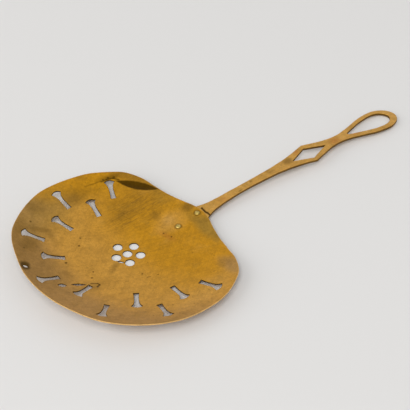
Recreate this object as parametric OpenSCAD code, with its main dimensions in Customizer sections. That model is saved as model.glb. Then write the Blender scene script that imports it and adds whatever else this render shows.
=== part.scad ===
/* [Bowl] */
// Width of the bowl across its shoulders
bowl_w = 179; // [170:1:190]
// Thickness of the sheet brass
sheet_t = 1.2; // [1:0.1:1.3]
// Radius that the middle of the dish is beaten to
dish_r = 560; // [500:10:620]
// Extra rise of the dish at 100 mm from its axis
dish_lift = 5.5; // [4.5:0.1:6.5]
// Tilt of the dish, which lifts the far lip above the neck
dish_tilt = 6; // [5.5:0.1:6.5]
// Depth worn off the underside where the bowl rests
worn = 0.15; // [0.05:0.05:0.3]

/* [Slots] */
// Length of each slot
slot_l = 17.8; // [15:0.1:19]
// Width of a slot's flared outer end
slot_w = 8.6; // [7:0.1:10]
// Width of a slot at its waist
slot_waist = 3.3; // [2.5:0.1:4]
// Width of a slot's flat inner end
slot_inner = 4.2; // [3:0.1:5]
// Bulge of a slot's outer end
slot_bulge = 1.7; // [1:0.1:2.5]

/* [Drain holes] */
// Diameter of each hole in the rosette
drain_d = 7.2; // [5:0.1:7.4]

/* [Handle] */
// Length from the neck to the end of the loop
handle_l = 203.9; // [190:0.1:215]
// Thickness of the bar
bar_t = 2.3; // [2:0.1:2.6]
// Thickness of the tongue under the bowl
tongue_t = 1.5; // [1.2:0.1:1.6]
// Length of the tongue under the bowl
tongue_l = 30.5; // [29:0.5:32]
// Half width of the bar at the neck
neck_half = 7.9; // [7:0.1:9]
// Half width of the diamond
diamond_half = 10.9; // [10:0.1:12]
// Half width of the diamond's opening
diamond_hole_half = 6.85; // [5:0.05:7.5]
// Half width of the loop
loop_half = 12.3; // [11:0.1:14]
// Half width of the loop's opening
loop_hole_half = 8.1; // [6:0.1:9]
// Turn of the handle away from the bowl's axis
handle_turn = -0.85; // [-2:0.05:2]

/* [Rivets] */
// Diameter of a rivet's shank
shank_d = 2.6; // [2:0.1:3]
// Diameter of a rivet's head
head_d = 4.4; // [4:0.1:5]
// Height of a rivet's head above the sheet
head_h = 0.8; // [0.4:0.1:1.2]
// Height of the hammered tail below the tongue
tail_h = 0.4; // [0.2:0.05:0.5]

/* [Hidden] */

$fn = 64;
brass = [0.72, 0.54, 0.23];
old_brass = [0.66, 0.49, 0.22];
cut = 1;

// Angle from the handle and radius of the bowl's outline, one side, for a bowl 179 mm wide
rim_points = [
    [0, 70.3], [8, 69.4], [16, 68.2], [27, 69.2], [38, 74.3], [48, 81.6], [60, 86.8],
    [80, 89.3], [106, 90.2], [135, 88.8], [160, 84.8], [180, 84.4]
];
rim_steps = 5;
rim_scale = bowl_w / 179;
neck_x = rim_points[0][1] * rim_scale;
far_x = rim_points[len(rim_points) - 1][1] * rim_scale;

// The row's origin is midway between the far lip and the end of the loop
bowl_x = (far_x - neck_x - handle_l) / 2;

// The dish is turned about an axis that stands towards the neck
dish_axis = 48;
dish_reach = 144;
dish_step = 8;

// Angle, radius of the outer end and turn of each slot
slots = [
    [65.4, 79.4, 0.4], [82, 65.6, -3], [97.1, 84.3, -3.6], [112.5, 68.5, -3.5],
    [134.3, 82.2, -2.3], [150.8, 66.4, -1.5], [174.3, 77.7, 0.4], [195.8, 63.5, 0.5],
    [219, 79.9, 2.5], [238.4, 62.3, -2.4], [254.3, 80.4, 2.6], [271.4, 67, -4.4], [289.6, 80.6, 0.3]
];
slot_steps = 5;

// Angle and distance of each outer drain hole from the middle one
rosette_centre = [-0.75, 2.05];
rosette = [[22, 9.4], [99.5, 10.4], [168.5, 9.2], [244, 9.9], [313.5, 10]];

// Distance from the neck and half width of the bar, up to the diamond's corner and on to the loop's end
diamond_at = 109.2;
bar_half = [
    [0, neck_half - 0.2], [8, 5.2], [20, 3.9], [40, 3.4], [55, 3.6], [70, 4.1], [83, 5.3], [93, 7],
    [101.5, 8.9], [diamond_at, diamond_half]
];
loop_at = 183;
loop_outer = [
    [diamond_at, diamond_half], [118, 8.2], [130, 5.2], [140, 4.3], [150, 5.45], [165, 9.25],
    [174, 11.4], [loop_at, loop_half], [191, 11.7], [198, 8.8], [handle_l - 1.6, 4.8], [handle_l, 0]
];
// Distance from the neck, height of the top and thickness of the bar
bar_side = [
    [-3, 5.1, tongue_t], [4, 5.95, bar_t - 0.1], [19, 7.6, bar_t], [40, 8.8, bar_t],
    [80, 9.25, bar_t], [122, 8.2, bar_t], [163, 6.3, bar_t], [192, 4, bar_t],
    [handle_l, bar_t - 0.1, bar_t]
];
// Ends of the diamond's opening, its corner and its shift to one side
diamond_hole = [91.2, 108.5, 126.6];
diamond_shift = -0.25;
// One side of the teardrop opening and its shift to one side
teardrop = [
    [151.4, 0], [152.2, 1.1], [161.7, 0.5 * loop_hole_half], [172.7, 0.84 * loop_hole_half],
    [181.7, loop_hole_half], [188.7, 0.95 * loop_hole_half], [194, 0.64 * loop_hole_half], [196.9, 0]
];
teardrop_shift = 0.35;
// The tongue narrows to a round tip
tongue_half = [[-1, neck_half], [-9, 7.4], [-18, 5.9], [-25, 4.6], [-29, 2.9], [-tongue_l, 0]];

neck_rivet_at = [65.7, 0.9];
tongue_rivet_at = [46.4, 0];

// A smooth curve through points p, with the points before and after it given by a and b
function curve(p, steps, a, b) = let (q = concat([a], p, [b])) concat(
    [for (i = [0:len(p) - 2], j = [0:steps - 1]) let (t = j / steps) 0.5 * (2 * q[i + 1]
        + (q[i + 2] - q[i]) * t
        + (2 * q[i] - 5 * q[i + 1] + 4 * q[i + 2] - q[i + 3]) * t * t
        + (3 * q[i + 1] - q[i] - 3 * q[i + 2] + q[i + 3]) * t * t * t)],
    [p[len(p) - 1]]);
function ahead(p) = 2 * p[0] - p[1];
function beyond(p) = 2 * p[len(p) - 1] - p[len(p) - 2];
function free_curve(p, steps) = curve(p, steps, ahead(p), beyond(p));
function other_side(p) = [for (i = [len(p) - 1:-1:0]) [p[i][0], -p[i][1]]];
function polar(v) = v[1] * [cos(v[0]), sin(v[0])];

// Height of the dish above its lowest level, at a distance r from its own axis
function dish(r) = dish_r - sqrt(dish_r * dish_r - r * r) + dish_lift * pow(r / 100, 4);
low_point = min([for (r = [20:0.25:80]) dish(r) * cos(dish_tilt) - r * sin(dish_tilt)]);
dish_z = sheet_t * cos(dish_tilt) - worn - low_point;

rim_side = [for (v = rim_points) rim_scale * polar(v)];
rim_half = curve(rim_side, rim_steps, [rim_side[1][0], -rim_side[1][1]],
    [rim_side[len(rim_side) - 2][0], -rim_side[len(rim_side) - 2][1]]);

// Moves a shape drawn about the bowl's centre to its place
module at_bowl() {
    translate([bowl_x, 0, 0]) children();
}

// Moves a shape drawn about the dish's axis to its place
module at_dish() {
    translate([bowl_x + dish_axis, 0, dish_z]) rotate([0, -dish_tilt, 0]) children();
}

// Moves a shape drawn from the neck to its place
module at_neck() {
    translate([bowl_x + neck_x, 0, 0]) rotate([0, 0, handle_turn]) children();
}

// The layer between two depths below the inside of the dish
module dish_layer(top, bottom) {
    rings = [for (r = [0:dish_step:dish_reach]) [r, dish(r)]];
    at_dish() rotate_extrude($fn = 128) polygon(concat(
        [for (p = rings) p - [0, top]],
        [for (i = [len(rings) - 1:-1:0]) rings[i] - [0, bottom]]));
}

// The space inside the bowl's outline
module rim_block() {
    at_bowl() translate([0, 0, -5]) linear_extrude(70) polygon(concat(rim_half, other_side(rim_half)));
}

module below_table() {
    translate([-300, -200, -20]) cube([600, 400, 20]);
}

// A slot that runs from its bulging outer end at the origin towards -X
module slot_outline() {
    side = free_curve([[-slot_bulge, slot_w / 2], [-0.3 * slot_l, 0.62 * slot_waist],
        [-0.62 * slot_l, slot_waist / 2], [-slot_l, slot_inner / 2]], slot_steps);
    end = [for (t = [-1:0.25:0.75]) [-slot_bulge * t * t, t * slot_w / 2]];
    polygon(concat(end, side, other_side(side)));
}

module slot_holes() {
    at_bowl() for (s = slots) translate(rim_scale * polar([s[0], s[1]]))
        rotate(s[0] + s[2]) translate([0, 0, -5]) linear_extrude(60) slot_outline();
}

module drain_holes() {
    at_bowl() for (h = concat([[0, 0]], rosette))
        translate(rosette_centre + polar(h)) translate([0, 0, -5]) cylinder(d = drain_d, h = 20);
}

// Moves a shape drawn about a rivet, with the inside of the bowl at z = 0, to its place
module at_rivet(place) {
    u = (place[0] - dish_axis) / cos(dish_tilt);
    at_dish() translate([u, place[1], dish(norm([u, place[1]]))]) children();
}

module shank(place, up, down) {
    at_rivet(place) translate([0, 0, -down]) cylinder(d = shank_d, h = up + down);
}

// A low dome of height h above z = 0, sunk a little below it
module dome(h) {
    ball_r = (head_d * head_d / 4 + h * h) / (2 * h);
    intersection() {
        translate([0, 0, h - ball_r]) sphere(ball_r);
        translate([0, 0, -0.3]) cylinder(d = head_d, h = h + 0.3 + cut);
    }
}

module bowl() {
    color(brass) difference() {
        intersection() {
            dish_layer(0, sheet_t);
            rim_block();
        }
        slot_holes();
        drain_holes();
        shank(neck_rivet_at, 5, 5);
        shank(tongue_rivet_at, 5, 5);
        below_table();
    }
}

module bar_plan() {
    near = free_curve(bar_half, 4);
    far = curve(loop_outer, 4, ahead(loop_outer),
        [loop_outer[len(loop_outer) - 2][0], -loop_outer[len(loop_outer) - 2][1]]);
    side = concat([[-3, neck_half]], near, [for (i = [1:len(far) - 1]) far[i]]);
    polygon(concat(side, other_side(side)));
}

// The bar seen from the side: a top curve and an underside that follows it
module bar_band() {
    top = free_curve(bar_side, 5);
    at_neck() rotate([90, 0, 0]) linear_extrude(60, center = true) polygon(concat(
        [for (p = top) [p[0], p[1]]],
        [for (i = [len(top) - 1:-1:0]) [top[i][0], top[i][1] - top[i][2]]]));
}

module tongue_plan() {
    side = curve(tongue_half, 4, [7, neck_half], [tongue_half[4][0], -tongue_half[4][1]]);
    polygon(concat(side, other_side(side)));
}

module diamond_opening() {
    polygon([[diamond_hole[0], diamond_shift], [diamond_hole[1], diamond_shift + diamond_hole_half],
        [diamond_hole[2], diamond_shift], [diamond_hole[1], diamond_shift - diamond_hole_half]]);
}

module loop_opening() {
    last = teardrop[len(teardrop) - 2];
    side = curve(teardrop, 4, [teardrop[1][0], -teardrop[1][1]], [last[0], -last[1]]);
    translate([0, teardrop_shift]) polygon(concat(side, other_side(side)));
}

module handle() {
    color(old_brass) difference() {
        union() {
            intersection() {
                dish_layer(0, sheet_t + tongue_t);
                at_neck() translate([0, 0, -5]) linear_extrude(60) tongue_plan();
            }
            intersection() {
                bar_band();
                at_neck() translate([0, 0, -5]) linear_extrude(60) bar_plan();
            }
        }
        intersection() {
            dish_layer(-40, sheet_t);
            rim_block();
        }
        at_neck() translate([0, 0, -5]) linear_extrude(60) {
            diamond_opening();
            loop_opening();
        }
        shank(neck_rivet_at, 5, 5);
        shank(tongue_rivet_at, 5, 5);
        below_table();
    }
}

// A rivet: a low head on the sheet, a shank through both pieces and a hammered tail
module rivet(place) {
    color(old_brass) union() {
        shank(place, 0.2, sheet_t + tongue_t + 0.1);
        difference() {
            at_rivet(place) dome(head_h);
            dish_layer(0, sheet_t);
        }
        difference() {
            at_rivet(place) translate([0, 0, -sheet_t - tongue_t]) mirror([0, 0, 1]) dome(tail_h);
            dish_layer(sheet_t, sheet_t + tongue_t);
        }
    }
}

module neck_rivet() {
    rivet(neck_rivet_at);
}

module tongue_rivet() {
    rivet(tongue_rivet_at);
}

bowl();
handle();
neck_rivet();
tongue_rivet();
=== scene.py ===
# An old brass skimmer: a pierced sheet beaten into a dish and riveted to a flat bar with a hanging loop.
from math import atan, cos, pi, radians, sin, sqrt

import bpy
import numpy as np
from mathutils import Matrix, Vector, noise
from mathutils.geometry import delaunay_2d_cdt
from mathutils.kdtree import KDTree


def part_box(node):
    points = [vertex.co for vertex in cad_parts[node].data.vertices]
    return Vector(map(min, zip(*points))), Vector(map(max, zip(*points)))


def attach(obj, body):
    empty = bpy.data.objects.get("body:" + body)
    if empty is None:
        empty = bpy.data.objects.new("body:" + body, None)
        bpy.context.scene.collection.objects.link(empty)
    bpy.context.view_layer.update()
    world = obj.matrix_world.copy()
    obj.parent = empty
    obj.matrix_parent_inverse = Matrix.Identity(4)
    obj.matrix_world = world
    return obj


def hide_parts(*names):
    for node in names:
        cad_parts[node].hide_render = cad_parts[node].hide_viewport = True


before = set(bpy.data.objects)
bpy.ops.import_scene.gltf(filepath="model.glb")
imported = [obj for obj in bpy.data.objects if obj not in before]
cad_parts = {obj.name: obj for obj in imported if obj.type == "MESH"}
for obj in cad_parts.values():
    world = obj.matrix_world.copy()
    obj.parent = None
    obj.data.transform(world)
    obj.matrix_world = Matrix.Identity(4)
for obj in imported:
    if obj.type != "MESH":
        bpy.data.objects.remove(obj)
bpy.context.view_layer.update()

MM = 0.001

# Bowl, in millimetres and degrees, in a plan with its origin at the bowl's centre and X towards the handle
RIM = [
    (0, 70.3), (8, 69.4), (16, 68.2), (27, 69.2), (38, 74.3), (48, 81.6), (60, 86.8),
    (80, 89.3), (106, 90.2), (135, 88.8), (160, 84.8), (180, 84.4),
]
NECK_X = RIM[0][1]
FAR_X = RIM[-1][1]
BOWL_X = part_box("bowl")[0].x / MM + FAR_X
SHEET_T = 1.2
SHEET_ROUNDING = 0.35
DISH_RADIUS = 560
DISH_LIFT = 5.5
DISH_TILT = 6
DISH_AXIS = 48
WORN = 0.15

# Angle, radius of the outer end, turn and length factor of each slot
SLOTS = [
    (65.4, 79.4, 0.4, 1.02), (82, 65.6, -3, 1.02), (97.1, 84.3, -3.6, 1.01), (112.5, 68.5, -3.5, 1.0),
    (134.3, 82.2, -2.3, 0.97), (150.8, 66.4, -1.5, 0.98), (174.3, 77.7, 0.4, 0.98),
    (195.8, 63.5, 0.5, 0.96), (219, 79.9, 2.5, 1.0), (238.4, 62.3, -2.4, 1.03), (254.3, 80.4, 2.6, 1.0),
    (271.4, 67, -4.4, 1.02), (289.6, 80.6, 0.3, 1.02),
]
SLOT_L = 17.8
SLOT_W = 8.6
SLOT_WAIST = 3.3
SLOT_INNER = 4.2
SLOT_BULGE = 1.7
SLOT_WAIST_AT = 0.62
DRAIN_D = 7.2
ROSETTE = (-0.75, 2.05)
DRAINS = [(0, 0), (22, 9.4), (99.5, 10.4), (168.5, 9.2), (244, 9.9), (313.5, 10)]
# Ends, widest half width of the cracks that have opened in the sheet
CRACKS = [
    ((-66.4, -1.6), (-60.6, -4.4), 1.9),
    ((-56.6, -4.6), (-47.0, -9.4), 1.15),
    ((-11.4, 0.0), (-8.2, -4.2), 0.8),
]
PINHOLE = ((-78.0, 25.8), (-75.6, 23.0), 1.3)

# Handle, in millimetres from the neck
HANDLE_TURN = -0.85
HANDLE_L = 203.9
NECK_HALF = 7.9
BAR_T = 2.3
TONGUE_T = 1.5
BAR_HALF = [
    (0, 7.7), (8, 5.2), (20, 3.9), (40, 3.4), (55, 3.6), (70, 4.1), (83, 5.3), (93, 7.0), (101.5, 8.9),
    (109.2, 10.9),
]
LOOP_HALF = [
    (109.2, 10.9), (118, 8.2), (130, 5.2), (140, 4.3), (150, 5.45), (165, 9.25), (174, 11.4), (183, 12.3),
    (191, 11.7), (198, 8.8), (HANDLE_L - 1.6, 4.8), (HANDLE_L, 0),
]
TONGUE_HALF = [(-30.5, 0), (-29, 2.9), (-25, 4.6), (-18, 5.9), (-9, 7.4), (-1, 7.9)]
# Distance from the neck, height of the top and thickness
BAR_SIDE = [
    (-3, 5.1, TONGUE_T), (4, 5.95, BAR_T - 0.1), (19, 7.6, BAR_T), (40, 8.8, BAR_T), (80, 9.25, BAR_T),
    (122, 8.2, BAR_T), (163, 6.3, BAR_T), (192, 4, BAR_T), (HANDLE_L, BAR_T - 0.1, BAR_T),
]
DIAMOND = [(91.2, -0.25), (108.5, 6.6), (126.6, -0.25), (108.5, -7.1)]
TEARDROP = [
    (151.4, 0), (152.2, 1.1), (161.7, 4.05), (172.7, 6.8), (181.7, 8.1), (188.7, 7.7), (194, 5.2), (196.9, 0),
]
TEARDROP_SHIFT = 0.35
BAR_ROUNDING = 0.45
BURR = (198.0, 1.5, 0.8, 0.7)

# Rivets: place in the bowl's plan
RIVETS = [(65.7, 0.9), (46.4, 0)]
HEAD_D = 4.2
HEAD_H = 0.75
TAIL_H = 0.38

# Camera, found from the outline of the bowl and the handle
CAMERA_SIDE = -38.72
CAMERA_UP = 42.206
CAMERA_DISTANCE = 1178.1
CAMERA_AIM = (80.2, 9.13)
SENSOR = 36
FIELD = 2 * atan(205 / 1500)

PALE = (0.735, 0.725, 0.712, 1)


# Plan curves

def curve(points, steps, before=None, after=None):
    """A smooth curve through points; before and after say how it leaves its ends."""
    p = [np.array(q, float) for q in points]
    first = 2 * p[0] - p[1] if before is None else np.array(before, float)
    last = 2 * p[-1] - p[-2] if after is None else np.array(after, float)
    q = [first, *p, last]
    made = []
    for i in range(len(p) - 1):
        a, b, c, d = q[i:i + 4]
        for t in np.arange(steps) / steps:
            made.append(0.5 * (2 * b + (c - a) * t + (2 * a - 5 * b + 4 * c - d) * t ** 2
                               + (3 * b - a - 3 * c + d) * t ** 3))
    return np.array(made + [p[-1]])


def mirrored(p):
    return (p[0], -p[1])


def polar(angle, radius):
    return np.array((cos(radians(angle)), sin(radians(angle)))) * radius


def both_sides(side):
    """The closed loop of a side and its mirror image; ends on the axis are used once."""
    other = [mirrored(p) for p in side[::-1] if abs(p[1]) > 1e-6]
    return np.vstack([side, np.array(other)])


def turned(points, angle):
    c, s = cos(radians(angle)), sin(radians(angle))
    return np.asarray(points) @ np.array([[c, s], [-s, c]])


def rough(loop, depth, size):
    """The loop with the small unevenness of an edge cut by hand."""
    moved = [noise.noise_vector(Vector((p[0] / size, p[1] / size, 3.7))) for p in loop]
    return loop + depth * np.array(moved)[:, :2]


def lens(start, end, half):
    """A crack's outline: two bowed lips from start to end."""
    start, end = np.array(start), np.array(end)
    along = end - start
    across = np.array((-along[1], along[0])) / np.hypot(*along)
    t = np.linspace(0, 1, 15)[:-1]
    lip = np.sin(pi * t) ** 0.8
    one = start + np.outer(t, along) + np.outer(lip * half, across)
    two = end - np.outer(t, along) - np.outer(lip * half, across)
    return np.vstack([one, two])


# Plates: flat pieces with rounded edges

def signed_area(loop):
    x, y = loop.T
    return 0.5 * np.sum(x * np.roll(y, -1) - np.roll(x, -1) * y)


def inset(loop, depth):
    """The loop moved into the metal, which lies on its left."""
    ahead = np.roll(loop, -1, 0) - loop
    ahead /= np.linalg.norm(ahead, axis=1)[:, None]
    left = np.stack([-ahead[:, 1], ahead[:, 0]], 1)
    back = np.roll(left, 1, 0)
    mitre = (left + back) / (1 + np.sum(left * back, 1)).clip(0.5)[:, None]
    return loop + depth * mitre


def inside(points, loops):
    """True for each point that lies in the metal: inside an odd number of loops."""
    odd = np.zeros(len(points), bool)
    x, y = points.T
    for loop in loops:
        for (x0, y0), (x1, y1) in zip(loop, np.roll(loop, -1, 0)):
            if y0 != y1:
                crosses = (y0 > y) != (y1 > y)
                odd ^= crosses & (x < (x1 - x0) * (y - y0) / (y1 - y0) + x0)
    return odd


def gap_to(points, loops):
    """Distance from each point to the nearest corner of the loops."""
    tree = KDTree(sum(map(len, loops)))
    for i, p in enumerate(np.vstack(loops)):
        tree.insert((*p, 0), i)
    tree.balance()
    return np.array([tree.find((*p, 0))[2] for p in points])


def hexagons(low, high, step):
    """Points of an even triangular grid over a box."""
    rows = np.arange(low[1], high[1], step * sqrt(3) / 2)
    columns = np.arange(low[0], high[0], step)
    return np.array([(x + (k % 2) * step / 2, y) for k, y in enumerate(rows) for x in columns])


def filling(loops, step, fine):
    """Points inside the loops, closer together in the fine spots (x, y, radius, step)."""
    low = np.min([loop.min(0) for loop in loops], 0)
    high = np.max([loop.max(0) for loop in loops], 0)
    points = hexagons(low, high, step)
    for x, y, radius, small in fine:
        centre = np.array((x, y))
        spot = hexagons(centre - radius, centre + radius, small)
        spot = spot[np.linalg.norm(spot - centre, axis=1) < radius]
        points = points[np.linalg.norm(points - centre, axis=1) > radius + 0.4 * step]
        points = np.vstack([points, spot])
    points = points[inside(points, loops)]
    gap = gap_to(points, loops)
    limit = np.full(len(points), 0.55 * step)
    for x, y, radius, small in fine:
        limit[np.linalg.norm(points - (x, y), axis=1) < radius] = 0.55 * small
    return points[gap > limit]


def plate(name, outer, holes, rounding, step, top, bottom, fine=()):
    """A plate with rounded edges between two surfaces, top(xy) and bottom(xy), in the bowl's plan."""
    loops = [outer if signed_area(outer) > 0 else outer[::-1]]
    loops += [hole if signed_area(hole) < 0 else hole[::-1] for hole in holes]
    arc = np.radians((90, 60, 30, 0))
    depths = rounding * (1 - np.cos(arc))
    drops = rounding * (1 - np.sin(arc))
    cores = [inset(loop, rounding) for loop in loops]
    flat = np.vstack([*cores, filling(cores, step, fine)])
    ring_starts = np.cumsum([0] + [len(loop) for loop in loops])
    edges = []
    for start, loop in zip(ring_starts, loops):
        n = len(loop)
        edges += [(start + i, start + (i + 1) % n) for i in range(n)]
    xy, _, faces, sources, _, _ = delaunay_2d_cdt([Vector(p) for p in flat], edges, [], 0, 1e-5)
    xy = np.array([tuple(v) for v in xy])
    faces = np.array([f for f in faces if len(f) == 3])
    middles = xy[faces].mean(1)
    faces = faces[inside(middles, cores)]
    place = {source: i for i, came in enumerate(sources) for source in came}
    n = len(xy)
    verts = [np.column_stack([xy, top(xy)]), np.column_stack([xy, bottom(xy)])]
    outer_edge, cut_wall = [[0.0] * (2 * n)], [[0.0] * (2 * n)]
    polygons = [tuple(f) for f in faces] + [tuple(n + f[::-1]) for f in faces]
    count = 2 * n
    for start, loop in zip(ring_starts, loops):
        m = len(loop)
        rings = [[place[start + i] for i in range(m)]]
        levels = [(d, h, a, top, -1) for d, h, a in zip(depths[1:], drops[1:], arc[1:])]
        levels += [(d, h, a, bottom, 1) for d, h, a in zip(depths[:0:-1], drops[:0:-1], arc[:0:-1])]
        for depth, drop, angle, surface, way in levels:
            ring = inset(loop, depth)
            verts.append(np.column_stack([ring, surface(ring) + way * drop]))
            rings.append(list(range(count, count + m)))
            outer_edge.append([cos(angle) * (loop is loops[0])] * m)
            cut_wall.append([cos(angle) * (loop is not loops[0])] * m)
            count += m
        rings.append([n + place[start + i] for i in range(m)])
        for upper, lower in zip(rings, rings[1:]):
            for i in range(m):
                j = (i + 1) % m
                polygons.append((upper[i], lower[i], lower[j], upper[j]))
    verts = np.vstack(verts)
    gaps = [gap_to(verts[:, :2], part) for part in (loops[:1], loops[1:])]
    verts[:, 0] += BOWL_X
    made = new_object(name, verts * MM, polygons)
    values = (np.concatenate(outer_edge), np.concatenate(cut_wall), *gaps)
    for key, numbers in zip(("outer_edge", "cut_wall", "rim_gap", "hole_gap"), values):
        made.data.attributes.new(key, "FLOAT", "POINT").data.foreach_set("value", numbers)
    return made


def new_object(name, verts, polygons):
    mesh = bpy.data.meshes.new(name)
    mesh.from_pydata([tuple(v) for v in verts], [], polygons)
    mesh.validate()
    mesh.polygons.foreach_set("use_smooth", [True] * len(mesh.polygons))
    made = bpy.data.objects.new(name, mesh)
    bpy.context.collection.objects.link(made)
    return made


# Node trees

class Number:
    """A number in a node tree that adds, subtracts, multiplies and divides as Math nodes."""

    def __init__(self, tree, socket):
        self.tree = tree
        self.socket = socket

    def do(self, operation, *others):
        values = [getattr(o, "socket", o) for o in (self, *others)]
        made = node(self.tree, "ShaderNodeMath", *values, operation=operation)
        return Number(self.tree, made.outputs[0])

    def __add__(self, other):
        return self.do("ADD", other)

    def __sub__(self, other):
        return self.do("SUBTRACT", other)

    def __mul__(self, other):
        return self.do("MULTIPLY", other)

    def __truediv__(self, other):
        return self.do("DIVIDE", other)

    def __pow__(self, other):
        return self.do("POWER", other)


def node(tree, kind, *values, named=None, **settings):
    """Adds a node; values fill its inputs in order, named ones by name. Sockets are linked, values set."""
    made = tree.nodes.new(kind)
    for key, value in settings.items():
        setattr(made, key, value)
    shown = [s for s in made.inputs if s.enabled]
    pairs = list(zip(shown, values))
    pairs += [(next(s for s in shown if s.name == key), value) for key, value in (named or {}).items()]
    for socket, value in pairs:
        for one in value if isinstance(value, list) else [value]:
            one = getattr(one, "socket", one)
            if isinstance(one, bpy.types.NodeSocket):
                tree.links.new(one, socket)
            elif one is not None:
                socket.default_value = one
    return made


def result(made):
    return next(s for s in made.outputs if s.enabled)


def geometry_tree(name, sizes):
    """A geometry tree with a geometry input and named sizes; returns it and its inputs."""
    tree = bpy.data.node_groups.new(name, "GeometryNodeTree")
    tree.interface.new_socket("Geometry", in_out="INPUT", socket_type="NodeSocketGeometry")
    for size in sizes:
        tree.interface.new_socket(size, in_out="INPUT", socket_type="NodeSocketFloat")
    tree.interface.new_socket("Material", in_out="INPUT", socket_type="NodeSocketMaterial")
    tree.interface.new_socket("Geometry", in_out="OUTPUT", socket_type="NodeSocketGeometry")
    start = tree.nodes.new("NodeGroupInput")
    given = {s.name: s for s in start.outputs}
    return tree, given


def end_tree(tree, given, geometry):
    """Every tree ends alike: instances are made real, and the material is set."""
    real = node(tree, "GeometryNodeRealizeInstances", geometry)
    dressed = node(tree, "GeometryNodeSetMaterial", result(real), named={"Material": given["Material"]})
    node(tree, "NodeGroupOutput", result(dressed))


def apply_tree(made, tree, sizes, material):
    """Runs a geometry tree on an object and leaves the result as its plain mesh."""
    modifier = made.modifiers.new(tree.name, "NODES")
    modifier.node_group = tree
    for item in tree.interface.items_tree:
        if item.in_out == "INPUT" and item.name in sizes:
            modifier[item.identifier] = float(sizes[item.name])
        if item.in_out == "INPUT" and item.name == "Material":
            modifier[item.identifier] = material
    graph = bpy.context.evaluated_depsgraph_get()
    mesh = bpy.data.meshes.new_from_object(made.evaluated_get(graph))
    made.modifiers.remove(modifier)
    made.data = mesh
    return made


def position(tree):
    """The three numbers of each point's place."""
    place = node(tree, "GeometryNodeInputPosition")
    parts = node(tree, "ShaderNodeSeparateXYZ", result(place))
    return [Number(tree, s) for s in parts.outputs]


def moved_to(tree, geometry, x, y, z):
    place = node(tree, "ShaderNodeCombineXYZ", x, y, z)
    return result(node(tree, "GeometryNodeSetPosition", geometry, named={"Position": result(place)}))


def points_with(name, places, **values):
    """An object of loose points, in metres, with a number at each point for each of values."""
    made = new_object(name, np.column_stack([np.array(places) * MM, np.zeros(len(places))]), [])
    for key, numbers in values.items():
        attribute = made.data.attributes.new(key, "FLOAT", "POINT")
        attribute.data.foreach_set("value", np.array(numbers, float))
    return made


def point_value(tree, name):
    made = node(tree, "GeometryNodeInputNamedAttribute", name, data_type="FLOAT")
    return Number(tree, result(made))


# Openings that the punch leaves in the flat sheet

def punch_tree():
    tree, given = geometry_tree("punched_openings", [
        "Slot Length", "Slot Width", "Waist", "Inner Width", "Bulge", "Drain Diameter"])
    length, width, waist, inner, bulge, drain = [
        Number(tree, given[k]) for k in
        ("Slot Length", "Slot Width", "Waist", "Inner Width", "Bulge", "Drain Diameter")]
    x, y, _ = position(tree)

    def line(start, end, count):
        made = node(tree, "GeometryNodeCurvePrimitiveLine",
                    result(node(tree, "ShaderNodeCombineXYZ", *start)),
                    result(node(tree, "ShaderNodeCombineXYZ", *end)))
        return result(node(tree, "GeometryNodeResampleCurve", result(made), named={"Count": count}))

    # Along the side, t is 0 at the corner of the outer end and 1 at the waist
    t = (x * -1 - bulge) / (length * SLOT_WAIST_AT - bulge)
    flare = (width - waist) / 2 * (t * -1 + 1).do("MAXIMUM", 0) ** 3.8
    tail = (t - 1).do("MAXIMUM", 0) / ((length - bulge) / (length * SLOT_WAIST_AT - bulge) - 1)
    half = waist / 2 + flare + (inner - waist) / 2 * tail ** 2
    side = moved_to(tree, line((bulge * -1, 0, 0), (length * -1, 0, 0), 26), x, half, 0)
    other = moved_to(tree, line((bulge * -1, 0, 0), (length * -1, 0, 0), 26), x, half * -1, 0)
    bow = (y * 2 / width) ** 2
    outer = line((0, width / -2, 0), (0, width / 2, 0), 13)
    outer = moved_to(tree, outer, bulge * bow * -1, y, 0)
    blunt = line((length * -1, inner / -2, 0), (length * -1, inner / 2, 0), 5)
    outline = node(tree, "GeometryNodeCurveToMesh",
                   result(node(tree, "GeometryNodeJoinGeometry", [side, other, outer, blunt])))
    outline = result(node(tree, "GeometryNodeMergeByDistance", result(outline), named={"Distance": 2e-5}))
    disc = result(node(tree, "GeometryNodeMeshCircle", named={"Vertices": 44, "Radius": drain / 2}))
    turn = node(tree, "ShaderNodeCombineXYZ", 0.0, 0.0, point_value(tree, "turn"))
    stretch = node(tree, "ShaderNodeCombineXYZ", point_value(tree, "stretch"), 1.0, 1.0)
    is_slot = point_value(tree, "is_slot")
    slots = node(tree, "GeometryNodeInstanceOnPoints", given["Geometry"], is_slot, named={
        "Instance": outline, "Rotation": result(turn), "Scale": result(stretch)})
    drains = node(tree, "GeometryNodeInstanceOnPoints", given["Geometry"], is_slot * -1 + 1,
                  named={"Instance": disc})
    both = node(tree, "GeometryNodeJoinGeometry", [result(slots), result(drains)])
    end_tree(tree, given, result(both))
    return tree


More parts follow.
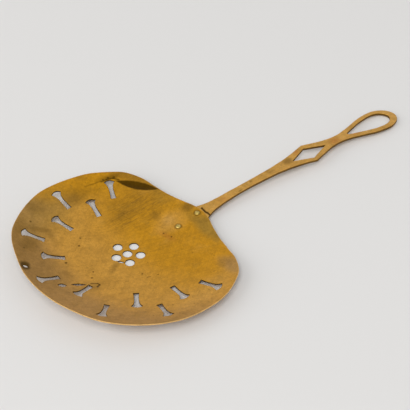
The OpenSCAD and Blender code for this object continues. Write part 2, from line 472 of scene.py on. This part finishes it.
def punched_loops():
    """The outlines of the slots and drain holes, as closed loops in the bowl's plan."""
    places = [polar(a, r) for a, r, _, _ in SLOTS] + [np.array(ROSETTE) + polar(a, r) for a, r in DRAINS]
    turns = [radians(a + turn) for a, _, turn, _ in SLOTS] + [0] * len(DRAINS)
    stretches = [k for _, _, _, k in SLOTS] + [1] * len(DRAINS)
    is_slot = [1] * len(SLOTS) + [0] * len(DRAINS)
    made = points_with("punch_marks", places, turn=turns, stretch=stretches, is_slot=is_slot)
    apply_tree(made, punch_tree(), {
        "Slot Length": SLOT_L * MM, "Slot Width": SLOT_W * MM, "Waist": SLOT_WAIST * MM,
        "Inner Width": SLOT_INNER * MM, "Bulge": SLOT_BULGE * MM, "Drain Diameter": DRAIN_D * MM}, None)
    near = {}
    for edge in made.data.edges:
        a, b = edge.vertices
        near.setdefault(a, []).append(b)
        near.setdefault(b, []).append(a)
    places = {v.index: np.array(v.co[:2]) / MM for v in made.data.vertices}
    bpy.data.objects.remove(made)
    loops = []
    while near:
        here = next(iter(near))
        loop = []
        while here in near:
            loop.append(places[here])
            here = next((n for n in near.pop(here) if n in near), None)
        loops.append(np.array(loop))
    return loops


# The dish

def rise(r):
    """Height of the dish at a distance r from its own axis."""
    return DISH_RADIUS - np.sqrt(DISH_RADIUS ** 2 - r ** 2) + DISH_LIFT * (r / 100) ** 4


def dish_level():
    """How far the dish stands up so that its underside, rubbed flat by use, rests on the table."""
    r = np.arange(20, 80, 0.25)
    tilt = radians(DISH_TILT)
    return SHEET_T * cos(tilt) - WORN - (rise(r) * cos(tilt) - r * sin(tilt)).min()


def dish_top(xy):
    """Height of the bowl's inside above the table, in the bowl's plan."""
    tilt = radians(DISH_TILT)
    x, y = np.asarray(xy, float).T
    z = np.zeros_like(x)
    for _ in range(4):
        across = (x - DISH_AXIS) * cos(tilt) + z * sin(tilt)
        z = (rise(np.hypot(across, y)) + (x - DISH_AXIS) * sin(tilt)) / cos(tilt)
    return z + dish_level()


def dish_tree():
    """Beats a flat sheet into the tilted dish, with the shallow marks of the hammer."""
    sizes = ["Radius", "Lift", "Tilt", "Axis", "Level", "Hammer Depth", "Hammer Size"]
    tree, given = geometry_tree("beaten_dish", sizes)
    radius, lift, tilt, axis, level, depth, size = [Number(tree, given[k]) for k in sizes]
    x, y, flat = position(tree)
    c, s = tilt.do("COSINE"), tilt.do("SINE")
    z = x * 0
    for _ in range(4):
        across = (x - axis) * c + z * s
        r = (across ** 2 + y ** 2) ** 0.5
        up = radius - (radius ** 2 - r ** 2) ** 0.5 + lift * (r * 10) ** 4
        z = (up + (x - axis) * s) / c
    marks = node(tree, "ShaderNodeTexNoise", named={
        "Scale": Number(tree, node(tree, "ShaderNodeMath", 1.0, size, operation="DIVIDE").outputs[0]),
        "Detail": 1.5, "Roughness": 0.4}, noise_dimensions="2D")
    place = node(tree, "ShaderNodeCombineXYZ", x, y, 0.0)
    tree.links.new(result(place), marks.inputs["Vector"])
    hammered = (Number(tree, marks.outputs[0]) - 0.5) * depth
    height = (z + level + flat + hammered).do("MAXIMUM", 0)
    end_tree(tree, given, moved_to(tree, given["Geometry"], x, y, height))
    return tree


def dent(xy, place, half, turn, height):
    """A smooth oval dent or bump, in millimetres."""
    local = turned(xy - np.array(place), -turn) / np.array(half)
    return height * np.exp(-np.sum(local ** 2, 1))


def sheet_marks(xy):
    """The knocks of long use on the inside of the sheet, as heights above the even surface."""
    height = dent(xy, (-76.9, 24.6), (3.4, 2.2), 60, -0.9)
    height += dent(xy, (-40.2, -14.6), (1.8, 1.2), 20, -0.35)
    height += dent(xy, FOLD[0], (16, 4.0), FOLD[2], -0.8)
    height += dent(xy, (-45.5, 18.2), (0.8, 0.8), 0, -0.2)
    height += dent(xy, (-38.5, -4.8), (1.2, 0.9), 0, -0.2)
    for start, end, half in CRACKS:
        middle = (np.array(start) + end) / 2
        along = np.array(end) - start
        turn = np.degrees(np.arctan2(along[1], along[0]))
        height += dent(xy, middle, (np.hypot(*along) * 0.6, half + 1.2), turn, -0.3)
    return height


def make_bowl(material):
    side = curve([polar(*v) for v in RIM], 12, mirrored(polar(*RIM[1])), mirrored(polar(*RIM[-2])))
    outer = rough(both_sides(side), 0.12, 9)
    openings = [rough(loop, 0.13, 2.2) for loop in punched_loops()]
    openings += [rough(lens(*crack), 0.15, 1.3) for crack in [*CRACKS, PINHOLE]]
    fine = [(-76.9, 24.6, 7, 0.5), (-51.8, -7.3, 7, 0.6), (-63.6, -3.1, 5, 0.6), (-40.2, -14.6, 3.5, 0.5),
            (48, 54.4, 15, 0.9), (-45.5, 18.2, 2, 0.4), (-38.5, -4.8, 2, 0.4)]
    bowl = plate("pierced_bowl", outer, openings, SHEET_ROUNDING, 1.5, sheet_marks,
                 lambda xy: np.full(len(xy), -SHEET_T), fine)
    apply_tree(bowl, dish_tree(), {
        "Radius": DISH_RADIUS * MM, "Lift": DISH_LIFT * MM, "Tilt": radians(DISH_TILT),
        "Axis": (BOWL_X + DISH_AXIS) * MM, "Level": dish_level() * MM,
        "Hammer Depth": 0.3 * MM, "Hammer Size": 22 * MM}, material)
    return bowl


# The handle

def from_neck(points):
    """Points measured along the handle from the neck, in the bowl's plan."""
    return turned(points, HANDLE_TURN) + np.array((NECK_X, 0))


def to_neck(xy):
    return turned(xy - np.array((NECK_X, 0)), -HANDLE_TURN)


def bar_levels(xy):
    """Height of the top and thickness of the handle, which lies against the sheet under the bowl."""
    side = curve(BAR_SIDE, 8)
    along = to_neck(xy)[:, 0]
    top = np.interp(along, side[:, 0], side[:, 1])
    thick = np.interp(along, side[:, 0], side[:, 2])
    seat = dish_top(xy) - SHEET_T - 0.03
    top = np.where(along < side[0, 0], seat, np.minimum(top, np.where(along < 6, seat, top)))
    return top, thick


def bar_top(xy):
    top, _ = bar_levels(xy)
    local = to_neck(xy)
    u, v, size, height = BURR
    burr = height * np.exp(-np.sum((local - (u, v)) ** 2, 1) / size ** 2)
    wave = [0.12 * noise.noise(Vector((p[0] / 9, p[1] / 9, 1.3))) for p in local]
    return top + burr + np.where(local[:, 0] > 6, wave, 0)


def bar_bottom(xy):
    top, thick = bar_levels(xy)
    return (top - thick).clip(0)


def make_handle(material):
    near = curve(BAR_HALF, 14)
    far = curve(LOOP_HALF, 12, after=mirrored(LOOP_HALF[-2]))
    tongue = curve(TONGUE_HALF, 8, before=mirrored(TONGUE_HALF[1]), after=(7, NECK_HALF))
    side = np.vstack([tongue, near, far[1:]])
    outer = from_neck(rough(both_sides(side), 0.14, 7))
    corners = [np.array(p) for p in DIAMOND]
    steps = np.linspace(0, 1, 25)[:-1]
    diamond = np.vstack([a + np.outer(steps, b - a) for a, b in zip(corners, corners[1:] + corners[:1])])
    drop = curve(TEARDROP, 12, mirrored(TEARDROP[1]), mirrored(TEARDROP[-2]))
    drop = both_sides(drop) + np.array((0, TEARDROP_SHIFT))
    holes = [from_neck(rough(hole, 0.12, 4)) for hole in (diamond, drop)]
    burr = from_neck([BURR[:2]])[0]
    handle = plate("pierced_handle", outer, holes, BAR_ROUNDING, 0.9, bar_top, bar_bottom,
                   [(*burr, 2.5, 0.3)])
    handle.data.materials.append(material)
    return handle


# The rivets

def rivet_tree():
    """Heads and tails: low hammered buttons at each point, laid on the slope of the sheet."""
    sizes = ["Head Diameter", "Head Height", "Tail Height", "Depth", "Hammer Depth"]
    tree, given = geometry_tree("hammered_rivets", sizes)
    across, head, tail, depth, hammer = [Number(tree, given[k]) for k in sizes]
    x, y, z = position(tree)

    def button(height):
        ball = node(tree, "GeometryNodeMeshUVSphere", named={"Segments": 48, "Rings": 24, "Radius": 1.0})
        return moved_to(tree, ball.outputs[0], x * across / 2, y * across / 2, z * height)

    tails = node(tree, "GeometryNodeTransform", button(tail), named={
        "Translation": result(node(tree, "ShaderNodeCombineXYZ", 0.0, 0.0, depth * -1))})
    rivet = result(node(tree, "GeometryNodeJoinGeometry", [button(head), result(tails)]))
    lean = node(tree, "ShaderNodeCombineXYZ", 0.0, point_value(tree, "lean"), 0.0)
    placed = node(tree, "GeometryNodeInstanceOnPoints", given["Geometry"], named={
        "Instance": rivet, "Rotation": result(lean)})
    real = result(node(tree, "GeometryNodeRealizeInstances", result(placed)))
    marks = node(tree, "ShaderNodeTexNoise", named={"Scale": 700.0, "Detail": 1.0}, noise_dimensions="3D")
    bump = (Number(tree, marks.outputs[0]) - 0.5) * hammer
    way = node(tree, "ShaderNodeVectorMath", result(node(tree, "GeometryNodeInputNormal")),
               operation="SCALE", named={"Scale": bump})
    shaped = node(tree, "GeometryNodeSetPosition", real, named={"Offset": result(way)})
    smooth = node(tree, "GeometryNodeSetShadeSmooth", result(shaped))
    end_tree(tree, given, result(smooth))
    return tree


def make_rivets(material):
    places = np.array(RIVETS, float)
    slope = np.arctan(dish_top(places + (0.5, 0)) - dish_top(places - (0.5, 0)))
    made = points_with("rivet_heads", places + (BOWL_X, 0), lean=-slope)
    for vertex, z in zip(made.data.vertices, dish_top(places)):
        vertex.co.z = z * MM
    apply_tree(made, rivet_tree(), {
        "Head Diameter": HEAD_D * MM, "Head Height": HEAD_H * MM, "Tail Height": TAIL_H * MM,
        "Depth": (SHEET_T + TONGUE_T) * MM, "Hammer Depth": 0.35 * MM}, material)
    return made


# Materials

def tone(red, green, blue):
    """A colour as it shows on a screen, each part from 0 to 255."""
    shown = np.array((red, green, blue)) / 255
    linear = np.where(shown <= 0.04045, shown / 12.92, ((shown + 0.055) / 1.055) ** 2.4)
    return (*map(float, linear), 1.0)


GOLD = tone(197, 147, 62)
AMBER = tone(192, 137, 22)
STRAW = tone(212, 166, 92)
# Painted dim, hazy reflection of the raised rims
HAZY_REFLECTION = tone(168, 131, 78)
OLIVE = tone(150, 120, 52)
BROWN = tone(126, 93, 36)
RUST = tone(178, 108, 44)
DARK = tone(70, 49, 8)
# Painted dark reflection in the fold behind the left shoulder
FOLD_REFLECTION = tone(72, 49, 4)
# Painted highlight on the rounded outer edge of the bowl
EDGE_HIGHLIGHT = tone(224, 190, 132)
# Painted shade on the cut walls of the openings
WALL_SHADE = tone(62, 46, 18)

# Broad tarnish on the inside of the bowl, with painted dim reflection where the colour is the hazy brown:
# centre, half sizes, turn, softness, strength and colour
TARNISH_AND_RIM_REFLECTION = [
    ((42, 6), (42, 86), 0, 0.45, 0.85, AMBER),
    ((14, 82), (48, 15), -14, 0.5, 0.9, AMBER),
    ((-32, 70), (30, 16), 28, 0.7, 0.45, OLIVE),
    ((-72, 26), (20, 36), 0, 0.6, 0.35, BROWN),
    ((-57, 54), (14, 15), 0, 0.8, 0.2, BROWN),
    ((33, 44), (20, 13), 0, 0.8, 0.3, BROWN),
    ((6, 72), (16, 7), 0, 0.8, 0.35, BROWN),
    ((60, 36), (9, 12), 0, 0.8, 0.35, OLIVE),
    ((64, -18), (7, 24), 8, 0.6, 0.75, OLIVE),
    ((50, -66), (8, 15), 10, 0.5, 0.8, HAZY_REFLECTION),
    ((44, 8), (10, 8), 0, 0.9, 0.45, STRAW),
    ((20, -72), (26, 9), 10, 0.8, 0.3, STRAW),
]
# Stains with firmer edges
BOWL_STAINS = [
    ((51.5, 62), (21, 6.5), -52, 0.6, 0.6, BROWN),
    ((34, 74), (7.5, 2.2), -14, 0.8, 0.6, DARK),
    ((64.5, 11), (5, 4), 0, 0.8, 0.7, BROWN),
    ((21, 39), (7, 3.4), 20, 0.9, 0.4, BROWN),
    ((39.5, 20.9), (4, 4), 0, 0.8, 0.35, BROWN),
    ((44.7, 10.6), (4, 4), 0, 0.8, 0.3, STRAW),
    ((-2, 72), (9, 4), 0, 0.8, 0.4, BROWN),
    ((-35, 78), (9, 4), -40, 0.8, 0.4, BROWN),
    ((-60, 45), (8, 5.5), 20, 0.7, 0.5, BROWN),
    ((-43, 56), (9, 2.4), -28, 0.7, 0.5, BROWN),
    ((-39, 47), (2.4, 7), -10, 0.8, 0.4, BROWN),
    ((-55, 64), (8, 4), 50, 0.8, 0.4, BROWN),
    ((-16.5, -3.6), (4.4, 2.2), 20, 0.8, 0.5, BROWN),
    ((-42, -14), (10, 5), 0, 0.8, 0.35, BROWN),
    ((34, -3), (2.2, 7), 12, 0.8, 0.35, RUST),
    ((-76.9, 24.6), (5.2, 3.6), 60, 0.4, 0.9, DARK),
]
# Specks of dark dirt: centre and radius
SPECKS = [
    ((-45.4, 18.4), 1.0), ((-25.8, 29.5), 0.9), ((-20.2, 36.2), 0.6), ((-45.1, 65.5), 0.9),
    ((-66, 42.5), 0.7), ((-38.4, -4.8), 0.9), ((-33.6, 0.3), 0.7), ((62.6, -27.8), 0.6),
    ((-5.1, -22.7), 0.7), ((3.5, -31), 0.6),
    ((33.6, 1.6), 0.6), ((35.8, -5.2), 0.6), ((33.9, 74.4), 0.9), ((38.4, 72.2), 0.8), ((29.6, 75.2), 0.7),
]
# Dark strokes, such as hairline cracks, scores and smears: start, end, half width and strength
BOWL_STROKES = [
    ((27.4, 74.2), (32.2, 73.7), 0.6, 0.6), ((32.2, 73.7), (37.1, 71.7), 0.7, 0.7),
    ((37.1, 71.7), (39.8, 68.2), 0.8, 0.7), ((13.7, 77.1), (27, 74.9), 0.6, 0.35),
    ((-43.0, -10.1), (-38.7, -12.3), 0.45, 0.8), ((-38.7, -12.3), (-38.2, -14.4), 0.5, 0.8),
    ((-38.4, -14.6), (-41.5, -15.7), 0.8, 0.85), ((-11.6, 0.4), (-8.4, -3.4), 0.4, 0.8),
    ((-5.2, -28.2), (-2.4, -29.2), 0.35, 0.6), ((-22, -22), (-18, -23), 0.3, 0.4),
]
# The fold behind the left shoulder: centre, half sizes and turn
FOLD = ((48.3, 54.8), (18.6, 4.4), -52)

BAR_GOLD = tone(198, 152, 76)
BAR_BROWN = tone(160, 120, 56)
BAR_LIGHT = tone(216, 174, 102)
# Painted shade on the handle's sides and the walls of its openings
BAR_WALL_SHADE = tone(92, 66, 28)
RIVET_PALE = tone(196, 172, 98)
RIVET_DULL = tone(136, 112, 44)
# Stains on the handle: centre, half sizes, turn, softness, strength and colour
BAR_STAINS = [
    ((158.2, 0.7), (4, 3.4), 20, 0.7, 0.7, BROWN),
    ((171.2, 5.4), (3.4, 2), 60, 0.8, 0.5, RUST),
    ((206.5, -2.4), (5, 3.4), 0, 0.8, 0.5, RUST),
    ((214, -3), (3, 4), 0, 0.8, 0.5, STRAW),
    ((138, 1.3), (2.2, 5), 12, 0.8, 0.4, BROWN),
    ((228, -5), (4, 2.4), 0, 0.8, 0.4, RUST),
    ((119.5, 0.3), (1.2, 1.0), 0, 0.6, 0.6, BROWN),
    ((106.4, -2.6), (1.6, 0.8), 0, 0.6, 0.6, BROWN),
    ((90, -1), (3.5, 2.6), 0, 0.8, 0.3, RUST),
    ((84, 1), (3.2, 5), 10, 0.8, 0.4, GOLD),
]
# A painted contact shadow on the handle, where the bowl's edge lies on it: start, end, half width and
# strength
NECK_CONTACT_SHADOW = ((72.2, 3.2), (71.8, -7.6), 0.9, 0.95)


def new_material(name):
    material = bpy.data.materials.new(name)
    material.use_nodes = True
    tree = material.node_tree
    tree.nodes.clear()
    return material, tree


def speckle(tree, place, size, detail=3.0, roughness=0.5, seed=0.0):
    """Noise whose lumps are about size millimetres across, as a number around a half."""
    made = node(tree, "ShaderNodeTexNoise", place, named={
        "W": seed, "Scale": 1 / (size * MM), "Detail": detail, "Roughness": roughness}, noise_dimensions="4D")
    return Number(tree, made.outputs[0])


def warped(tree, place, size, depth, seed):
    """The place pushed about by noise, so that what is drawn there has uneven edges."""
    made = node(tree, "ShaderNodeTexNoise", place, named={
        "W": seed, "Scale": 1 / (size * MM), "Detail": 2.0}, noise_dimensions="4D")
    push = node(tree, "ShaderNodeVectorMath", made.outputs[1], (0.5, 0.5, 0.5), operation="SUBTRACT")
    push = node(tree, "ShaderNodeVectorMath", result(push), operation="SCALE",
                named={"Scale": 2 * depth * MM})
    return result(node(tree, "ShaderNodeVectorMath", place, result(push), operation="ADD"))


def stretched(tree, place, turn, ratios):
    """The place turned and scaled, so that noise on it is drawn out along a direction."""
    return result(node(tree, "ShaderNodeMapping", place, named={
        "Rotation": (0, 0, radians(turn)), "Scale": (*ratios, 1)}, vector_type="TEXTURE"))


def between(tree, value, low, high):
    """0 at low, 1 at high, smooth between them."""
    made = node(tree, "ShaderNodeMapRange", value, low, high, 0.0, 1.0, interpolation_type="SMOOTHSTEP")
    return Number(tree, made.outputs[0])


def mixed(tree, amount, first, second):
    return result(node(tree, "ShaderNodeMix", amount, first, second, data_type="RGBA"))


def shaded(tree, colour, factor):
    return result(node(tree, "ShaderNodeVectorMath", colour, operation="SCALE", named={"Scale": factor}))


def on_plan(tree, place, centre, half, turn):
    """Numbers along and across a mark on the bowl's plan, 1 at its half sizes (mm)."""
    local = node(tree, "ShaderNodeMapping", place, named={
        "Location": ((centre[0] + BOWL_X) * MM, centre[1] * MM, 0),
        "Rotation": (0, 0, radians(turn)),
        "Scale": (half[0] * MM, half[1] * MM, 1)}, vector_type="TEXTURE")
    parts = node(tree, "ShaderNodeSeparateXYZ", result(local))
    return [Number(tree, s) for s in parts.outputs[:2]]


def patch(tree, place, centre, half, turn, soft):
    """1 inside an oval, fading over its edge."""
    x, y = on_plan(tree, place, centre, half, turn)
    return between(tree, (x ** 2 + y ** 2) ** 0.5, 1 + soft, 1 - soft)


def stroke(tree, place, start, end, half):
    """1 along a line from start to end, fading at its edges."""
    start, end = np.array(start), np.array(end)
    along = end - start
    x, y = on_plan(tree, place, (start + end) / 2, (1, 1), np.degrees(np.arctan2(along[1], along[0])))
    past = (x.do("ABSOLUTE") - float(np.hypot(*along)) / 2).do("MAXIMUM", 0.0)
    return between(tree, (past ** 2 + y ** 2) ** 0.5, half * 1.5, half * 0.4)


def leaf(tree, place, centre, half, turn):
    """1 inside two bowed lips that meet in points."""
    x, y = on_plan(tree, place, centre, half, turn)
    return between(tree, x ** 2 * -1 + 1 - y.do("ABSOLUTE"), -0.08, 0.3)


def value_of(tree, name):
    return Number(tree, node(tree, "ShaderNodeAttribute", attribute_name=name).outputs["Fac"])


def toned(tree, place, colour, tones):
    """The colour with each stain laid over it."""
    for centre, half, turn, soft, strength, stain in tones:
        colour = mixed(tree, patch(tree, place, centre, half, turn, soft) * strength, colour, stain)
    return colour


def stroked(tree, place, colour, strokes):
    for start, end, half, strength in strokes:
        colour = mixed(tree, stroke(tree, place, start, end, half) * strength, colour, DARK)
    return colour


def fine_lines(tree, place, turn, spacing, seed):
    """Thin scratches along a direction, as 1 on the scratch."""
    run = speckle(tree, stretched(tree, place, turn, (30, 1)), spacing, 2.0, 0.5, seed)
    return between(tree, (run - 0.5).do("ABSOLUTE"), 0.05, 0.0)


def brass(name, look, rough_low, rough_high):
    """Old brass whose colour, dullness and scratches come from look."""
    material, tree = new_material(name)
    place = tree.nodes.new("ShaderNodeTexCoord").outputs["Object"]
    grain = speckle(tree, place, 2.2, 3.0, 0.6, 2.0)
    fine = speckle(tree, place, 0.8, 2.0, 0.6, 5.0)
    colour, dull, cut = look(tree, place)
    mottle = speckle(tree, place, 5.5, 2.0, 0.5, 8.0)
    shade = (grain - 0.5) * 0.55 + (fine - 0.5) * 0.6 + (mottle - 0.5) * 0.4
    colour = shaded(tree, colour, shade + 1)
    pits = between(tree, speckle(tree, place, 1.7, 1.0, 0.5, 11.0), 0.30, 0.22)
    colour = mixed(tree, pits * 0.5, colour, DARK)
    height = grain * 0.8 + fine * 0.4 - pits * 1.0 - cut * 0.6
    bump = node(tree, "ShaderNodeBump", named={"Strength": 0.4, "Distance": 0.1 * MM, "Height": height})
    roughness = between(tree, grain * 0.4 + fine * 0.3 + dull * 0.5, 0.15, 0.85)
    roughness = roughness * (rough_high - rough_low) + rough_low
    shader = node(tree, "ShaderNodeBsdfPrincipled", named={
        "Base Color": colour, "Metallic": 1.0, "Roughness": roughness, "Normal": result(bump)})
    node(tree, "ShaderNodeOutputMaterial", shader.outputs[0])
    return material


def bowl_look(tree, place):
    """Gold in the middle and amber to the right and top, with a painted dim, hazy reflection along the left
    and lower rims, a painted highlight along the rim, and painted shade in the fold, around the rivets and at
    the openings.
    """
    wide = warped(tree, place, 22, 7, 1.0)
    near = warped(tree, place, 3, 0.7, 4.0)
    cloud = speckle(tree, place, 20, 3.0, 0.6, 21.0)
    blot = speckle(tree, place, 8, 4.0, 0.65, 22.0)
    # Outside the middle: a painted dim, hazy reflection of the raised rims
    rim_reflection = patch(tree, wide, (22, 0), (76, 86), 0, 0.2) * -1 + 1
    colour = mixed(tree, rim_reflection * 0.9, GOLD, HAZY_REFLECTION)
    colour = toned(tree, wide, colour, TARNISH_AND_RIM_REFLECTION)
    colour = mixed(tree, between(tree, blot, 0.52, 0.8) * 0.45, colour, OLIVE)
    colour = mixed(tree, between(tree, cloud, 0.55, 0.8) * 0.2, colour, STRAW)
    colour = mixed(tree, between(tree, cloud, 0.45, 0.25) * 0.3, colour, BROWN)
    colour = toned(tree, near, colour, BOWL_STAINS)
    filed = patch(tree, wide, (34, 36), (26, 15), 0, 0.5)
    lines = (fine_lines(tree, place, -1, 1.5, 31.0) + fine_lines(tree, place, 3, 2.1, 32.0) * 0.7) * filed
    strays = fine_lines(tree, place, 38, 7.0, 33.0) + fine_lines(tree, place, -24, 8.0, 34.0)
    colour = mixed(tree, lines * 0.4 + strays * 0.1, colour, BROWN)
    colour = stroked(tree, near, colour, BOWL_STROKES)
    for centre, radius in SPECKS:
        speck = patch(tree, near, centre, (radius, radius), 0, 0.5)
        colour = mixed(tree, speck * 0.75, colour, DARK)
    # Painted dark reflection, laid over the fold behind the left shoulder
    fold_reflection = leaf(tree, warped(tree, place, 6, 0.6, 6.0), *FOLD)
    colour = mixed(tree, fold_reflection * 0.95, colour, FOLD_REFLECTION)
    # Painted shade around the rivet heads, where they sit on the sheet
    for centre in RIVETS:
        ring = patch(tree, near, centre, (3.0, 3.0), 0, 0.3)
        colour = mixed(tree, ring * 0.55, colour, DARK)
    # Painted highlight: a light line on the top face within a millimetre of the rim
    rim_highlight = between(tree, value_of(tree, "rim_gap") + (blot - 0.5) * 1.2, 0.9, 0.1)
    colour = mixed(tree, rim_highlight * 0.5, colour, STRAW)
    # Painted highlight on the rounded outer edge
    colour = mixed(tree, value_of(tree, "outer_edge") * 0.7, colour, EDGE_HIGHLIGHT)
    # Painted shade within a millimetre of every opening
    hole_edge_shade = between(tree, value_of(tree, "hole_gap") + (blot - 0.5) * 1.6, 0.8, 0.0)
    colour = mixed(tree, hole_edge_shade * 0.35, colour, BROWN)
    # Painted shade on the cut walls of the openings
    wall_shade = between(tree, value_of(tree, "cut_wall"), 0.2, 0.8)
    colour = mixed(tree, wall_shade * 0.9, colour, WALL_SHADE)
    return colour, blot * 0.5 + rim_reflection * 0.5 + fold_reflection * 0.3, lines + strays * 0.5


def bar_look(tree, place):
    """Browner than the bowl, with bands across it, and its sides and the walls of its openings darkened with
    painted shade.
    """
    near = warped(tree, place, 5, 1.0, 4.0)
    bands = speckle(tree, stretched(tree, place, 8, (1, 5)), 7, 3.0, 0.6, 41.0)
    blot = speckle(tree, place, 4, 4.0, 0.6, 42.0)
    colour = mixed(tree, between(tree, bands, 0.5, 0.75) * 0.8, BAR_GOLD, BAR_BROWN)
    colour = mixed(tree, between(tree, blot, 0.52, 0.75) * 0.6, colour, BAR_LIGHT)
    colour = toned(tree, near, colour, BAR_STAINS)
    lines = fine_lines(tree, place, 3, 2.6, 43.0) + fine_lines(tree, place, -16, 4.0, 44.0) * 0.5
    colour = mixed(tree, lines * 0.16, colour, BAR_BROWN)
    # Painted contact shadow where the bowl's edge lies on the handle
    colour = stroked(tree, near, colour, [NECK_CONTACT_SHADOW])
    # Painted shade on the handle's sides and the walls of its openings
    wall_shade = between(tree, value_of(tree, "cut_wall") + value_of(tree, "outer_edge"), 0.45, 0.95)
    colour = mixed(tree, wall_shade * 0.85, colour, BAR_WALL_SHADE)
    return colour, blot * 0.6 + wall_shade * 0.4, lines


def rivet_look(tree, place):
    """Yellow-green brass, rubbed bright on the lumps."""
    blot = speckle(tree, place, 1.6, 3.0, 0.6, 51.0)
    colour = mixed(tree, between(tree, blot, 0.4, 0.65), RIVET_PALE, RIVET_DULL)
    return colour, blot * 0.4, blot * 0


def pale_floor():
    """A plain pale table."""
    material, tree = new_material("pale_table")
    shader = node(tree, "ShaderNodeBsdfPrincipled", named={
        "Base Color": PALE, "Roughness": 0.75, "Specular IOR Level": 0.2})
    node(tree, "ShaderNodeOutputMaterial", shader.outputs[0])
    return material


# The picture: camera, floor and light

def towards(side, up):
    """The direction from the aim to a point seen at these angles; 0 to the side looks along Y."""
    a, e = radians(side), radians(up)
    return Vector((sin(a) * cos(e), -cos(a) * cos(e), sin(e)))


def aim_point():
    return Vector(((BOWL_X + CAMERA_AIM[0]) * MM, CAMERA_AIM[1] * MM, 0))


def make_camera():
    data = bpy.data.cameras.new("camera")
    data.sensor_width = SENSOR
    data.angle = FIELD
    data.clip_start = 0.05
    camera = bpy.data.objects.new("camera", data)
    bpy.context.collection.objects.link(camera)
    back = towards(CAMERA_SIDE, CAMERA_UP)
    camera.location = aim_point() + back * CAMERA_DISTANCE * MM
    camera.rotation_euler = (-back).to_track_quat("-Z", "Y").to_euler()
    bpy.context.scene.camera = camera


def make_lamp(name, side, up, distance, size, share):
    """A round softbox that gives a share of the plain level on the table under it."""
    data = bpy.data.lights.new(name, "AREA")
    data.shape = "DISK"
    data.size = size
    data.energy = share * pi ** 2 * (distance ** 2 + (size / 2) ** 2) / sin(radians(up))
    lamp = bpy.data.objects.new(name, data)
    bpy.context.collection.objects.link(lamp)
    back = towards(CAMERA_SIDE + side, up)
    lamp.location = aim_point() + back * distance
    lamp.rotation_euler = (-back).to_track_quat("-Z", "Y").to_euler()


def make_floor():
    s = 3.0
    corners = np.array([(-s, -s, 0), (s, -s, 0), (s, s, 0), (-s, s, 0)])
    floor = new_object("pale_floor", corners, [(0, 1, 2, 3)])
    floor.data.materials.append(pale_floor())


def make_world(share, low, high):
    """A pale room: share lights the table, and what the camera and the metal see runs from low to high."""
    world = bpy.data.worlds.new("studio")
    bpy.context.scene.world = world
    world.use_nodes = True
    tree = world.node_tree
    paths = tree.nodes.new("ShaderNodeLightPath").outputs
    seen = Number(tree, paths["Is Camera Ray"])
    for way in ("Is Glossy Ray", "Is Transmission Ray"):
        seen = seen.do("MAXIMUM", paths[way])
    up = node(tree, "ShaderNodeSeparateXYZ", tree.nodes.new("ShaderNodeTexCoord").outputs["Generated"])
    room = between(tree, up.outputs[2], 0.0, 0.8) * (high - low) + low
    strength = seen * (room - share) + share
    background = tree.nodes["Background"]
    background.inputs["Color"].default_value = (1, 1, 1, 1)
    tree.links.new(strength.socket, background.inputs["Strength"])


make_camera()
make_floor()
make_world(0.42, 0.98, 0.86)
make_lamp("front", -8, 52, 9.0, 5.0, 0.42)
make_lamp("low_left", -62, 26, 4.5, 4.0, 0.17)

sheet_brass = brass("sheet_brass", bowl_look, 0.40, 0.62)
bar_brass = brass("bar_brass", bar_look, 0.38, 0.6)
rivet_brass = brass("rivet_brass", rivet_look, 0.3, 0.5)

pierced_bowl = make_bowl(sheet_brass)
pierced_handle = make_handle(bar_brass)
rivet_heads = make_rivets(rivet_brass)

for piece, slot, nodes in (
    (pierced_bowl, "sheet_brass", ["bowl"]),
    (pierced_handle, "bar_brass", ["handle"]),
    (rivet_heads, "rivet_brass", ["neck_rivet", "tongue_rivet"]),
):
    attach(piece, "root")
    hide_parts(*nodes)

bpy.context.scene.view_settings.view_transform = "Standard"
